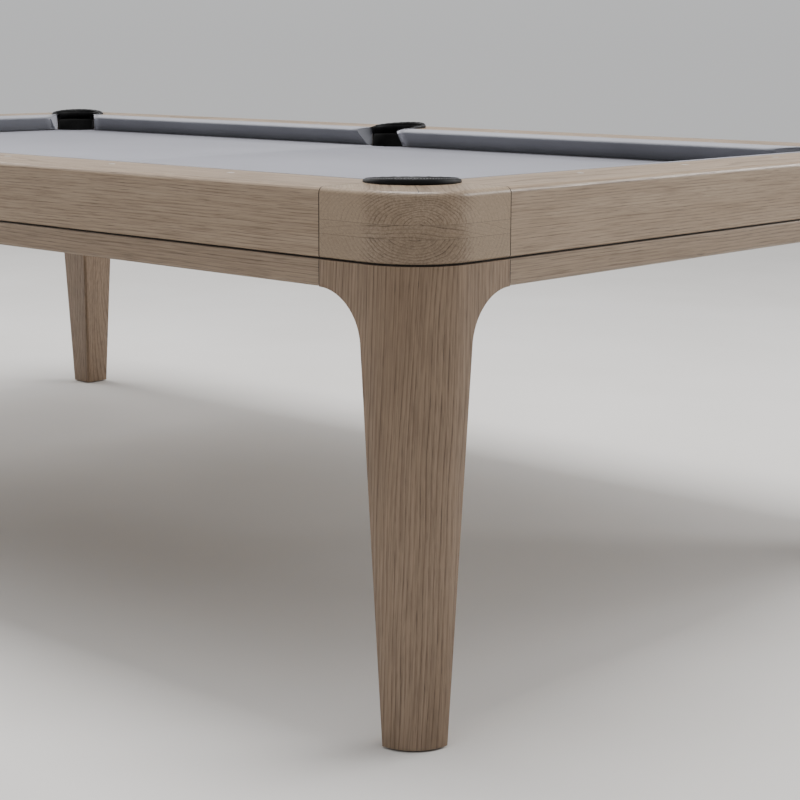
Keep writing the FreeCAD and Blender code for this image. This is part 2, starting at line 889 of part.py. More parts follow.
def rail_bolts():
    bolts = []
    seat = beam_top
    for edge in bed_edges():
        for x in bolt_stations(edge):
            bolt = post(x, rail_bolt_line, rail_bolt_radius, seat, rail_top - rail_bolt_cover)
            bolt = bolt.fuse(post(x, rail_bolt_line, rail_bolt_flange_radius,
                                  seat - rail_bolt_flange, seat))
            bolt = bolt.fuse(hexagon(rail_bolt_across, x, rail_bolt_line,
                                     seat - rail_bolt_flange - rail_bolt_head,
                                     seat - rail_bolt_flange))
            bolts.append(to_edge(bolt.removeSplitter(), edge))
    return Part.makeCompound(bolts)


def slate_screw_places():
    """Screws through the slates into every cross beam, three or more to a beam."""
    rows = (-1, 0, 1)
    reach = slate_width / 2 - liner_width * slate_screw_row_share
    quarter = seam_beam_width / 4
    places = []
    for x, width in cross_beam_places():
        offsets = (-quarter, quarter) if width == seam_beam_width else (0,)
        for offset in offsets:
            for row in rows:
                places.append((x + offset, row * reach))
    return places


def slate_screw(x, y, gap):
    shank = post(x, y, slate_screw_radius + gap,
                 slate_top - slate_screw_length - gap, slate_top)
    head = Part.makeCone(slate_screw_radius + gap, slate_screw_head_radius + gap,
                         slate_screw_head, vec(x, y, slate_top - slate_screw_head), UP)
    return shank.fuse(head)


def cut_slate_screws(shape):
    box = shape.BoundBox
    for x, y in slate_screw_places():
        if box.XMin < x < box.XMax and box.YMin < y < box.YMax:
            shape = shape.cut(slate_screw(x, y, fit_gap))
    return shape


def slate_screws():
    return Part.makeCompound([slate_screw(x, y, 0).removeSplitter()
                              for x, y in slate_screw_places()])


# ------------------------------------------------------------------ corner plates
def screw_tip_z():
    return bed_top - plate_thickness + screw_length


def plate_rows():
    """Depth of both long edges of a corner plate."""
    return rail_face_thickness + plate_margin, slate_inset - plate_margin


def plate_screw_inset():
    near, far = plate_rows()
    return plate_screw_share * (far - near)


def plate_screw_rows():
    near, far = plate_rows()
    return near + plate_screw_inset(), far - plate_screw_inset()


def plate_screw_reach():
    """Distance of a plate's screws from the seam that it bridges."""
    return plate_length / 2 - plate_screw_inset()


def plate_screw_places(edge):
    """Screw centres in the two plates at the ends of an edge, rail side only."""
    reach = edge_span(edge) / 2 - band - plate_screw_reach()
    return [(side * reach, row) for side in (-1, 1) for row in plate_screw_rows()]


def block_screw_places():
    """Screw centres in the two plates under one corner block, block side only."""
    along = band - plate_screw_reach()
    rows = plate_screw_rows()
    return [(along, row) for row in rows] + [(row, along) for row in rows]


def corner_plates():
    near, far = plate_rows()
    hole = screw_radius + fit_gap
    low = bed_top - plate_thickness
    plates = []
    for edge in bed_edges():
        seam = edge_span(edge) / 2 - band
        for side in (-1, 1):
            x = side * seam
            plate = block(x - plate_length / 2, x + plate_length / 2, near, far, low, bed_top)
            for dx in (-1, 1):
                sx = x + dx * plate_screw_reach()
                for sy in plate_screw_rows():
                    plate = plate.cut(post(sx, sy, hole, low - 1, bed_top + 1))
            plates.append(to_edge(plate, edge))
    return Part.makeCompound(plates)


def screw(length):
    """A wood screw along +Z, with its head below Z = 0."""
    shank = post(0, 0, screw_radius, 0, length)
    head = post(0, 0, screw_head_radius, -screw_head, 0)
    return shank.fuse(head).removeSplitter()


# ------------------------------------------------------------------ leg brackets
def bracket_levels():
    return beam_bottom + bracket_margin, apron_top - bracket_margin


def bracket_middle():
    low, high = bracket_levels()
    return (low + high) / 2


def lag_line():
    return beam_inner + lag_offset


def lag_shank(radius, length):
    """Shank of the bolt into a leg, in the corner frame, along X from the bracket."""
    start = vec(band + bracket_thickness, lag_line(), bracket_middle())
    return Part.makeCylinder(radius, length, start, vec(-1, 0, 0))


def bracket_screw_places(edge):
    x = edge_span(edge) / 2 - band - bracket_length * bracket_screw_share
    rise = bracket_screw_pitch / 2
    middle = bracket_middle()
    return [(side * x, middle + dz) for side in (-1, 1) for dz in (-rise, rise)]


def bracket_screw_hole(x, z):
    start = vec(x, beam_inner + bracket_thickness, z)
    return Part.makeCylinder(screw_radius + fit_gap, beam_screw_length + fit_gap,
                             start, vec(0, -1, 0))


def leg_bracket(edge, side):
    """Steel angle in the corner between a leg and the beam that meets it."""
    low, high = bracket_levels()
    face = side * (edge_span(edge) / 2 - band)
    wing_x = sorted((face, face - side * bracket_length))
    foot_x = sorted((face, face - side * bracket_thickness))
    wing = block(wing_x[0], wing_x[1], beam_inner, beam_inner + bracket_thickness, low, high)
    foot = block(foot_x[0], foot_x[1], beam_inner, beam_inner + bracket_width, low, high)
    body = wing.fuse(foot).removeSplitter()
    for x, z in bracket_screw_places(edge):
        body = body.cut(bracket_screw_hole(x, z))
    hole = Part.makeCylinder(lag_radius + fit_gap, 4 * bracket_thickness,
                             vec(face - 2 * bracket_thickness, lag_line(), bracket_middle()),
                             vec(1, 0, 0))
    return body.cut(hole)


def leg_brackets():
    return Part.makeCompound([to_edge(leg_bracket(edge, side), edge)
                              for edge in bed_edges() for side in (-1, 1)])


def leg_bolts():
    """Lag bolts through the brackets into the legs, two to a leg."""
    bolts = []
    for corner in CORNERS:
        shank = lag_shank(lag_radius, lag_length)
        head = Part.makeCylinder(lag_head_radius, lag_head,
                                 vec(band + bracket_thickness, lag_line(), bracket_middle()),
                                 vec(1, 0, 0))
        bolt = shank.fuse(head).removeSplitter()
        bolts.append(to_corner(bolt, corner))
        bolts.append(to_corner(swap_xy(bolt), corner))
    return Part.makeCompound(bolts)


def bracket_screws():
    """Wood screws in the corner plates and in the leg brackets."""
    screws = []
    for edge in bed_edges():
        seam = edge_span(edge) / 2 - band
        for side in (-1, 1):
            for dx in (-1, 1):
                x = side * seam + dx * plate_screw_reach()
                for y in plate_screw_rows():
                    place = vec(x, y, bed_top - plate_thickness)
                    screws.append(to_edge(screw(screw_length).translated(place), edge))
        for x, z in bracket_screw_places(edge):
            piece = screw(beam_screw_length)
            piece.rotate(vec(0, 0, 0), vec(1, 0, 0), 90)
            piece.translate(vec(x, beam_inner + bracket_thickness, z))
            screws.append(to_edge(piece, edge))
    return Part.makeCompound(screws)


# ------------------------------------------------------------------ assembly
def build():
    parts = {}
    one_leg = leg()
    one_block = corner_block()
    for corner in CORNERS:
        parts["leg_" + corner] = to_corner(one_leg, corner)
        parts["corner_block_" + corner] = to_corner(one_block, corner)
        parts["leveller_pad_" + corner] = to_corner(leveller_pad(), corner)
        parts["leveller_stud_" + corner] = to_corner(leveller_stud(), corner)
    parts["leveller_inserts"] = Part.makeCompound(
        [to_corner(leveller_insert(), corner) for corner in CORNERS])

    for edge in bed_edges():
        kind = "side" if has_side_pocket(edge) else "end"
        parts[kind + "_rail_" + edge] = to_edge(rail(edge), edge)
        parts[kind + "_apron_" + edge] = to_edge(apron(edge), edge)
    parts["side_beams"] = Part.makeCompound(
        [to_edge(long_beam(edge), edge) for edge in ("front", "rear")])
    parts["end_beams"] = Part.makeCompound(
        [to_edge(long_beam(edge), edge) for edge in ("left", "right")])
    parts["cross_beams"] = cross_beams()

    for index, name in enumerate(("left", "middle", "right")):
        parts["slate_" + name] = slate(index)
    parts["slate_liners"] = slate_liners()
    parts["bed_cloth"] = bed_cloth()
    parts["slate_screws"] = slate_screws()

    for edge in ("front", "rear"):
        for name, piece in zip(("left", "right"), cushions(edge)):
            parts["cushion_" + edge + "_" + name] = to_edge(piece, edge)
    for edge in ("left", "right"):
        parts["cushion_" + edge] = to_edge(cushions(edge)[0], edge)
    parts["cushion_facings"] = cushion_facings()
    parts["feather_strips"] = feather_strips()

    for name in list(CORNERS) + ["front_middle", "rear_middle"]:
        is_corner = name in CORNERS
        parts["pocket_rim_" + name] = to_pocket(pocket_rim(is_corner), name)
        parts["pocket_boot_" + name] = to_pocket(pocket_boot(is_corner), name)

    parts["rail_sights"] = rail_sights()
    parts["rail_bolts"] = rail_bolts()
    parts["corner_plates"] = corner_plates()
    parts["leg_brackets"] = leg_brackets()
    parts["leg_bolts"] = leg_bolts()
    parts["bracket_screws"] = bracket_screws()
    return parts


def main():
    os.makedirs("parts", exist_ok=True)
    for name, shape in build().items():
        shape.exportStep("parts/" + name + ".step")


main()
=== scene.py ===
import math
import random

import bmesh
import bpy
from mathutils import Matrix, Vector


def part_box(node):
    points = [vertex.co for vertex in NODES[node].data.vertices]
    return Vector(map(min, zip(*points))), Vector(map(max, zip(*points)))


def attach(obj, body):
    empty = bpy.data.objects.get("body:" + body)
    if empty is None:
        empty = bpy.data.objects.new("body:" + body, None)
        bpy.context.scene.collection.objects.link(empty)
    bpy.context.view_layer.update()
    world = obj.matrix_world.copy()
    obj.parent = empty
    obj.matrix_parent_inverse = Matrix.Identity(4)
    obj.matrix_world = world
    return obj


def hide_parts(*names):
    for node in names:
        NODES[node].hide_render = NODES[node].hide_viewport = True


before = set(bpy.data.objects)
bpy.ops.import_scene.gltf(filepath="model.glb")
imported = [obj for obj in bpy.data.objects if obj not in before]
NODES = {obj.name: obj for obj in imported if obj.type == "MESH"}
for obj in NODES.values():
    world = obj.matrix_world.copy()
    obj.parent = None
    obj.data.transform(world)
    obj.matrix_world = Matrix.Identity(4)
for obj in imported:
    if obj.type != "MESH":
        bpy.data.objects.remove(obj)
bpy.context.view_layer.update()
TABLE = "table"

CORNERS = {
    "front_left": (-1, -1),
    "front_right": (1, -1),
    "rear_left": (-1, 1),
    "rear_right": (1, 1),
}
EDGES = ("front", "rear", "left", "right")
POCKETS = tuple(CORNERS) + ("front_middle", "rear_middle")

# ------------------------------------------------------------------ places, from the frame
leg_low, leg_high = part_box("leg_front_right")
rail_low, rail_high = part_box("side_rail_front")
cloth_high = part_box("bed_cloth")[1]
cushion_low, cushion_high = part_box("cushion_front_left")
half_length = leg_high.x
half_width = -leg_low.y
rail_top = rail_high.z
rail_bottom = rail_low.z
seam_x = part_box("side_apron_front")[1].x
seam_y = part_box("end_apron_right")[1].y
bed_top = cloth_high.z
slate_half_x = cloth_high.x
slate_half_y = cloth_high.y
nose = half_width + cushion_high.y
nose_rise = 0.0365
nose_line = bed_top + nose_rise
cushion_back = half_width + cushion_low.y
nose_top = cushion_high.z
cushion_base = cushion_low.z
strip_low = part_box("feather_strips")[0]
wood_edge = half_width + strip_low.y
boot_low, boot_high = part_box("pocket_boot_front_left")
boot_radius = (boot_high.x - boot_low.x) / 2
corner_pocket = half_width + (boot_low.y + boot_high.y) / 2
side_boot_low, side_boot_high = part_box("pocket_boot_front_middle")
side_pocket = half_width + (side_boot_low.y + side_boot_high.y) / 2
boot_bottom = boot_low.z
boot_top = boot_high.z
groove_height = 0.003
apron_top = rail_bottom - groove_height
rim_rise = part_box("pocket_rim_front_left")[1].z - rail_top
side_rim_low, side_rim_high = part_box("pocket_rim_front_middle")
side_rim_outer = (side_rim_high.x - side_rim_low.x) / 2
corner_rim_outer = corner_pocket - half_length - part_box("pocket_rim_front_left")[0].x
boot_wall = 0.003
facing = 0.003
hole_clearance = 0.002
slate_hole = boot_radius + hole_clearance


def edge_point(edge, along, depth, height):
    """A point given along an edge, inward from its outer face, and up."""
    if edge == "front":
        return Vector((along, depth - half_width, height))
    if edge == "rear":
        return Vector((along, half_width - depth, height))
    if edge == "left":
        return Vector((depth - half_length, along, height))
    return Vector((half_length - depth, along, height))


def edge_coordinates(edge, point):
    """How far along its edge and how deep a point lies."""
    if edge == "front":
        return point.x, point.y + half_width
    if edge == "rear":
        return point.x, half_width - point.y
    if edge == "left":
        return point.y, point.x + half_length
    return point.y, half_length - point.x


def pocket_spot(name):
    """Centre of a pocket, and the angle of the direction from it to the bed."""
    if name in CORNERS:
        sx, sy = CORNERS[name]
        centre = Vector((sx * (half_length - corner_pocket), sy * (half_width - corner_pocket), 0))
        return centre, math.atan2(-sy, -sx)
    sy = -1 if name.startswith("front") else 1
    return Vector((0, sy * (half_width - side_pocket), 0)), math.atan2(-sy, 0)


# ------------------------------------------------------------------ mesh helpers
def make_object(name, bm, material, smooth=True):
    mesh = bpy.data.meshes.new(name)
    bmesh.ops.recalc_face_normals(bm, faces=bm.faces)
    bm.to_mesh(mesh)
    bm.free()
    for polygon in mesh.polygons:
        polygon.use_smooth = smooth
    obj = bpy.data.objects.new(name, mesh)
    bpy.context.scene.collection.objects.link(obj)
    materials = material if isinstance(material, (list, tuple)) else [material]
    for item in materials:
        mesh.materials.append(item)
    return obj


def skin_rings(bm, rings, closed_ring=True, cap_start=False, cap_end=False, slot=0):
    """Faces between successive rings of points; returns the rings' vertices."""
    made = [[bm.verts.new(p) for p in ring] for ring in rings]
    count = len(made[0])
    last = count if closed_ring else count - 1
    for a, b in zip(made, made[1:]):
        for i in range(last):
            j = (i + 1) % count
            face = bm.faces.new((a[i], a[j], b[j], b[i]))
            face.material_index = slot
    if cap_start:
        bm.faces.new(made[0]).material_index = slot
    if cap_end:
        bm.faces.new(made[-1]).material_index = slot
    return made


def lerp(a, b, t):
    return a + (b - a) * t


def ease(t):
    t = min(1.0, max(0.0, t))
    return t * t * (3 - 2 * t)


# ------------------------------------------------------------------ material helpers
class Graph:
    """A short way to write a node material."""

    def __init__(self, name):
        self.material = bpy.data.materials.new(name)
        self.material.use_nodes = True
        self.tree = self.material.node_tree
        self.tree.nodes.clear()
        self.output = self.tree.nodes.new("ShaderNodeOutputMaterial")
        self.shader = self.tree.nodes.new("ShaderNodeBsdfPrincipled")
        self.tree.links.new(self.shader.outputs[0], self.output.inputs[0])
        self.position = self.add("ShaderNodeTexCoord").outputs["Object"]

    def add(self, kind, inputs=None, **settings):
        node = self.tree.nodes.new(kind)
        for key, value in settings.items():
            setattr(node, key, value)
        for key, value in (inputs or {}).items():
            if isinstance(value, bpy.types.NodeSocket):
                self.tree.links.new(value, node.inputs[key])
            else:
                node.inputs[key].default_value = value
        return node

    def math(self, operation, a, b=0.0, c=0.0, clamp=False):
        node = self.add("ShaderNodeMath", {0: a, 1: b, 2: c}, operation=operation)
        node.use_clamp = clamp
        return node.outputs[0]

    def vector(self, operation, a, b=(0, 0, 0)):
        node = self.add("ShaderNodeVectorMath", {0: a, 1: b}, operation=operation)
        return node.outputs["Value" if operation in ("DOT_PRODUCT", "LENGTH") else "Vector"]

    def scaled(self, vector, factors):
        return self.vector("MULTIPLY", vector, factors)

    def join(self, x, y, z):
        return self.add("ShaderNodeCombineXYZ", {0: x, 1: y, 2: z}).outputs[0]

    def split(self, vector):
        return self.add("ShaderNodeSeparateXYZ", {0: vector}).outputs

    def noise(self, vector, scale, detail=2.0, roughness=0.5, colour=False):
        node = self.add("ShaderNodeTexNoise", {"Vector": vector, "Scale": scale,
                                               "Detail": detail, "Roughness": roughness})
        return node.outputs["Color" if colour else "Fac"]

    def ramp(self, factor, stops, smooth=False):
        node = self.add("ShaderNodeValToRGB", {0: factor})
        if smooth:
            node.color_ramp.interpolation = "EASE"
        elements = node.color_ramp.elements
        while len(elements) < len(stops):
            elements.new(0.5)
        for element, (place, colour) in zip(elements, stops):
            element.position = place
            element.color = grey(colour) if isinstance(colour, (int, float)) else colour
        return node.outputs[0]

    def range(self, value, low, high, new_low=0.0, new_high=1.0):
        node = self.add("ShaderNodeMapRange", {0: value, 1: low, 2: high,
                                               3: new_low, 4: new_high})
        return node.outputs[0]

    def mix(self, factor, a, b, blend="MIX"):
        node = self.add("ShaderNodeMix", data_type="RGBA", blend_type=blend)
        for socket, value in ((node.inputs[0], factor), (node.inputs[6], a), (node.inputs[7], b)):
            if isinstance(value, bpy.types.NodeSocket):
                self.tree.links.new(value, socket)
            else:
                socket.default_value = value
        return node.outputs[2]

    def bump(self, height, strength, distance, normal=None):
        inputs = {"Height": height, "Strength": strength, "Distance": distance}
        if normal is not None:
            inputs["Normal"] = normal
        return self.add("ShaderNodeBump", inputs).outputs[0]

    def finish(self, **inputs):
        for key, value in inputs.items():
            socket = self.shader.inputs[key.replace("_", " ")]
            if isinstance(value, bpy.types.NodeSocket):
                self.tree.links.new(value, socket)
            else:
                socket.default_value = value
        return self.material


def grey(value):
    return (value, value, value, 1)


def srgb(red, green, blue):
    """A display colour, 0 to 255, as linear light."""
    return tuple(((c / 255 + 0.055) / 1.055) ** 2.4 if c > 10 else c / 255 / 12.92
                 for c in (red, green, blue)) + (1,)


# ------------------------------------------------------------------ wood
OAK_LIGHT = srgb(176, 157, 136)
OAK_MIDDLE = srgb(161, 141, 119)
OAK_DARK = srgb(104, 84, 66)
PORE = srgb(62, 48, 37)
# Dark colour for real joint lines, also used as painted shade in the groove and joint gaps.
JOINT_LINE_AND_SHADE = srgb(34, 27, 22)


def grain_frame(graph, origin, grain, up, tilt):
    """Position with its third coordinate along the grain, about an origin."""
    along = Vector(grain).normalized()
    side = along.cross(Vector(up)).normalized()
    along = (along + side * math.sin(tilt)).normalized()
    side = along.cross(Vector(up)).normalized()
    across = side.cross(along).normalized()
    local = graph.vector("SUBTRACT", graph.position, tuple(origin))
    return graph.join(graph.vector("DOT_PRODUCT", local, tuple(side)),
                      graph.vector("DOT_PRODUCT", local, tuple(across)),
                      graph.vector("DOT_PRODUCT", local, tuple(along)))


def oak_surface(graph, local, distance, gap, tone, ring_strength=1.0):
    """Ring-porous oak: growth rings at a distance field, pore streaks, fibre, tone."""
    drift = graph.noise(graph.scaled(local, (11, 11, 1.5)), 1.0, 3)
    phase = graph.math("MULTIPLY_ADD", drift, 2.2, graph.math("DIVIDE", distance, gap))
    ring = graph.math("FRACT", phase)
    year = graph.noise(graph.join(graph.math("FLOOR", phase), 0.0, 0.0), 0.73, 0)
    early = graph.ramp(ring, [(0.0, 0.30), (0.05, 1.0), (0.17, 0.42), (0.36, 0.12), (0.9, 0.0),
                              (1.0, 0.30)])
    early = graph.math("MULTIPLY", early, graph.range(year, 0.32, 0.68, 0.40, 1.35))
    broken = graph.noise(graph.scaled(local, (150, 150, 16)), 1.0, 3, 0.65)
    early = graph.math("MULTIPLY", early, graph.range(broken, 0.32, 0.62, 0.25, 1.15))

    streak = graph.noise(graph.scaled(local, (650, 650, 26)), 1.0, 2, 0.6)
    fibre = graph.noise(graph.scaled(local, (330, 330, 9)), 1.0, 3, 0.65)
    broad = graph.noise(graph.scaled(local, (16, 16, 1.3)), 1.0, 3)
    pore = graph.range(streak, 0.54, 0.70)
    pore = graph.math("MULTIPLY", pore, graph.math("MULTIPLY_ADD", early, 0.8, 0.30), clamp=True)

    colour = graph.mix(graph.range(broad, 0.3, 0.7), OAK_MIDDLE, OAK_LIGHT)
    colour = graph.mix(graph.math("MULTIPLY", early, 0.62 * ring_strength, clamp=True),
                       colour, OAK_DARK)
    colour = graph.mix(graph.range(fibre, 0.42, 0.72, 0.0, 0.55), colour, OAK_DARK)
    colour = graph.mix(graph.math("MULTIPLY", pore, 0.72), colour, PORE)
    colour = graph.mix(1.0, colour, tuple(tone) + (1,), "MULTIPLY")
    height = graph.math("SUBTRACT", graph.math("MULTIPLY", fibre, 0.3), pore)
    rough = graph.math("MULTIPLY_ADD", pore, 0.2, graph.range(fibre, 0.3, 0.7, 0.34, 0.46))
    return colour, rough, height


def groove_and_joint_shade(graph, colour):
    """Painted shade: dark colour inside the shadow groove and along the fine joints between rails
    and blocks.
    """
    reach = 0.0001
    seam_half = 0.0008
    parts = graph.split(graph.vector("ABSOLUTE", graph.position))
    groove_shade = graph.math("MULTIPLY", graph.math("GREATER_THAN", parts[2], apron_top + reach),
                           graph.math("LESS_THAN", parts[2], rail_bottom + reach))
    along = graph.math("ABSOLUTE", graph.math("SUBTRACT", parts[0], seam_x))
    across = graph.math("ABSOLUTE", graph.math("SUBTRACT", parts[1], seam_y))
    seam = graph.math("LESS_THAN", graph.math("MINIMUM", along, across), seam_half)
    # Painted shade in the recessed groove and the joint gaps.
    dark = graph.math("MAXIMUM", groove_shade, seam)
    return graph.mix(graph.math("MULTIPLY", dark, 0.93), colour, JOINT_LINE_AND_SHADE)


def finish_oak(graph, colour, rough, height):
    return graph.finish(Base_Color=groove_and_joint_shade(graph, colour), Roughness=rough,
                        Normal=graph.bump(height, 0.35, 0.0006), Specular_IOR_Level=0.32,
                        Coat_Weight=0.14, Coat_Roughness=0.13)


def oak(name, origin, grain, up, tilt, gap, tone, ring_strength=1.0, wander=0.02):
    """Oak whose growth rings circle a line through origin, nearly along the grain."""
    graph = Graph(name)
    local = grain_frame(graph, origin, grain, up, tilt)
    bend = graph.noise(graph.scaled(local, (6, 6, 1.6)), 1.0, 2, colour=True)
    bend = graph.scaled(graph.vector("SUBTRACT", bend, (0.5, 0.5, 0.5)), (wander, wander, 0))
    warped = graph.vector("ADD", local, bend)
    distance = graph.vector("LENGTH", graph.scaled(warped, (1, 1, 0)))
    return finish_oak(graph, *oak_surface(graph, local, distance, gap, tone, ring_strength))


def block_oak(name, corner):
    """A corner block of three glued boards, their grain along the block's diagonal."""
    sx, sy = CORNERS[corner]
    graph = Graph(name)
    origin = (sx * half_length, sy * half_width, 0)
    local = grain_frame(graph, origin, (sx, sy, 0), (0, 0, 1), 0.0)
    bend = graph.noise(graph.scaled(local, (24, 24, 4)), 1.0, 2, colour=True)
    bend = graph.scaled(graph.vector("SUBTRACT", bend, (0.5, 0.5, 0.5)), (0.012, 0.007, 0))
    parts = graph.split(graph.vector("ADD", local, bend))
    plain = graph.split(local)
    lateral, level = plain[0], plain[1]

    def rings(centre_x, centre_z, squeeze):
        x = graph.math("SUBTRACT", parts[0], centre_x)
        z = graph.math("MULTIPLY", graph.math("SUBTRACT", parts[1], centre_z), squeeze)
        return graph.vector("LENGTH", graph.join(x, z, 0.0))

    def choose(factor, a, b):
        return graph.add("ShaderNodeMix", {0: factor, 2: a, 3: b}).outputs[0]

    top_joint = rail_bottom + 0.054
    low_joint = rail_bottom + 0.034
    above = graph.math("GREATER_THAN", level, top_joint)
    below = graph.math("LESS_THAN", level, low_joint)
    distance = choose(above, rings(0.03, top_joint - 0.42, 1.0),
                      rings(0.0, top_joint - 0.002, 1.75))
    distance = choose(below, distance, rings(0.008, low_joint + 0.016, 1.35))
    colour, rough, height = oak_surface(graph, local, distance, 0.0056, (0.75, 0.735, 0.71), 1.7)

    off_centre = graph.range(graph.math("ABSOLUTE", lateral), 0.066, 0.082)
    flank = graph.math("MULTIPLY", off_centre, 0.62)
    plain_oak = graph.mix(1.0, OAK_MIDDLE, (0.88, 0.88, 0.86, 1), "MULTIPLY")
    colour = graph.mix(flank, colour, plain_oak)
    slant = graph.join(graph.math("ADD", lateral, graph.math("MULTIPLY", level, 0.8)),
                       graph.math("SUBTRACT", level, graph.math("MULTIPLY", lateral, 0.8)), 0.0)
    fleck = graph.noise(graph.scaled(slant, (160, 620, 1)), 1.0, 2, 0.7)
    flecks = graph.math("MULTIPLY", graph.range(fleck, 0.52, 0.72),
                        graph.math("MULTIPLY_ADD", off_centre, 0.42, 0.10))
    colour = graph.mix(flecks, colour, OAK_LIGHT)
    near_top = graph.math("ABSOLUTE", graph.math("SUBTRACT", level, top_joint))
    near_low = graph.math("ABSOLUTE", graph.math("SUBTRACT", level, low_joint))
    glue = graph.math("LESS_THAN", graph.math("MINIMUM", near_top, near_low), 0.0004)
    on_top = graph.math("GREATER_THAN", level, rail_top - 0.002)
    mitre = graph.math("MULTIPLY", on_top,
                       graph.math("LESS_THAN", graph.math("ABSOLUTE", lateral), 0.0009))
    colour = graph.mix(graph.math("MULTIPLY", glue, 0.35), colour, PORE)
    colour = graph.mix(graph.math("MULTIPLY", mitre, 0.8), colour, JOINT_LINE_AND_SHADE)
    board = graph.math("MULTIPLY_ADD", above, 0.05, graph.math("MULTIPLY_ADD", below, -0.03, 0.97))
    colour = graph.mix(1.0, colour, graph.join(board, board, board), "MULTIPLY")
    return finish_oak(graph, colour, rough, height)


def softwood(name, grain, light, dark, gap):
    """Plain sawn timber for what is out of sight under the bed."""
    graph = Graph(name)
    local = grain_frame(graph, (0, 0, 0.4), grain, (0, 0, 1), 0.01)
    bend = graph.noise(graph.scaled(local, (6, 6, 1)), 1.0, 2)
    parts = graph.split(local)
    ring = graph.math("FRACT", graph.math("MULTIPLY_ADD", bend, 3.0,
                                          graph.math("DIVIDE", parts[1], gap)))
    late = graph.ramp(ring, [(0.0, 0.0), (0.75, 0.35), (0.95, 1.0), (1.0, 0.0)])
    fibre = graph.noise(graph.scaled(local, (400, 400, 12)), 1.0, 2)
    colour = graph.mix(graph.math("MULTIPLY", late, 0.6), light, dark)
    colour = graph.mix(graph.range(fibre, 0.35, 0.7, 0.0, 0.3), colour, dark)
    return graph.finish(Base_Color=colour, Roughness=graph.range(fibre, 0.3, 0.7, 0.6, 0.75),
                        Normal=graph.bump(fibre, 0.3, 0.0005))


# ------------------------------------------------------------------ cloth, leather, metal, slate
def billiard_cloth(name, light, dark):
    """Close-woven worsted: a fine twill, a slight nap and faint chalky wear."""
    graph = Graph(name)
    parts = graph.split(graph.position)
    thread = 0.0011
    warp = graph.math("SINE", graph.math("MULTIPLY", graph.math("ADD", parts[0], parts[1]),
                                         2 * math.pi / thread))
    weft = graph.math("SINE", graph.math("MULTIPLY", graph.math("SUBTRACT", parts[0], parts[1]),
                                         2 * math.pi / (3 * thread)))
    twill = graph.math("MULTIPLY", warp, weft)
    nap = graph.noise(graph.position, 900, 3, 0.7)
    wear = graph.noise(graph.position, 3.5, 4, 0.55)
    fuzz = graph.noise(graph.position, 120, 3, 0.6)
    colour = graph.mix(graph.range(wear, 0.3, 0.7), dark, light)
    colour = graph.mix(graph.range(nap, 0.35, 0.7, 0.0, 0.35), colour, dark)
    colour = graph.mix(graph.range(fuzz, 0.45, 0.75, 0.0, 0.12), colour, light)
    height = graph.math("MULTIPLY_ADD", twill, 0.25, nap)
    return graph.finish(Base_Color=colour, Roughness=graph.range(nap, 0.3, 0.7, 0.78, 0.9),
                        Normal=graph.bump(height, 0.25, 0.0003),
                        Sheen_Weight=0.9, Sheen_Roughness=0.35,
                        Sheen_Tint=srgb(230, 230, 240), Specular_IOR_Level=0.3)


def leather(name, colour, roughness, grain_size, shine):
    """Dyed leather with a pebbled grain, creases and rubbed high spots."""
    graph = Graph(name)
    cells = graph.add("ShaderNodeTexVoronoi", {"Vector": graph.position,
                                               "Scale": 1 / grain_size})
    pebble = graph.math("MULTIPLY", cells.outputs["Distance"], -1.0)
    crease = graph.noise(graph.scaled(graph.position, (60, 60, 140)), 1.0, 4, 0.6)
    rub = graph.noise(graph.position, 45, 3, 0.6)
    lighter = tuple(min(1.0, c * 2.2 + 0.003) for c in colour[:3]) + (1,)
    shade = graph.mix(graph.range(rub, 0.48, 0.75, 0.0, 0.6), colour, lighter)
    height = graph.math("MULTIPLY_ADD", crease, 0.8, pebble)
    rough = graph.range(rub, 0.3, 0.7, roughness, roughness + 0.16)
    return graph.finish(Base_Color=shade, Roughness=rough,
                        Normal=graph.bump(height, 0.3, 0.0007),
                        Specular_IOR_Level=shine)


def rubber(name):
    graph = Graph(name)
    speck = graph.noise(graph.position, 700, 2)
    cloud = graph.noise(graph.position, 30, 3)
    colour = graph.mix(graph.range(cloud, 0.3, 0.7), srgb(24, 24, 25), srgb(40, 40, 42))
    return graph.finish(Base_Color=colour, Roughness=graph.range(cloud, 0.3, 0.7, 0.55, 0.75),
                        Normal=graph.bump(speck, 0.2, 0.0002))


def slate_stone():
    graph = Graph("slate_stone")
    layer = graph.noise(graph.scaled(graph.position, (6, 6, 260)), 1.0, 4, 0.6)
    patch = graph.noise(graph.position, 5, 5, 0.6)
    grit = graph.noise(graph.position, 900, 2)
    colour = graph.mix(graph.range(patch, 0.3, 0.7), srgb(72, 76, 82), srgb(98, 101, 105))
    colour = graph.mix(graph.range(layer, 0.45, 0.7, 0.0, 0.5), colour, srgb(52, 56, 62))
    height = graph.math("MULTIPLY_ADD", grit, 0.4, layer)
    return graph.finish(Base_Color=colour, Roughness=graph.range(grit, 0.3, 0.7, 0.55, 0.75),
                        Normal=graph.bump(height, 0.4, 0.0008))


def steel(name, base, tint, roughness):
    """Plated steel with a drawn grain and slight tarnish."""
    graph = Graph(name)
    drawn = graph.noise(graph.scaled(graph.position, (900, 900, 60)), 1.0, 2)
    tarnish = graph.noise(graph.position, 160, 4, 0.6)
    colour = graph.mix(graph.range(tarnish, 0.4, 0.75), base, tint)
    rough = graph.math("MULTIPLY_ADD", drawn, 0.15,
                       graph.range(tarnish, 0.3, 0.7, roughness, roughness + 0.12))
    return graph.finish(Base_Color=colour, Roughness=rough, Metallic=1.0,
                        Normal=graph.bump(drawn, 0.15, 0.0002))


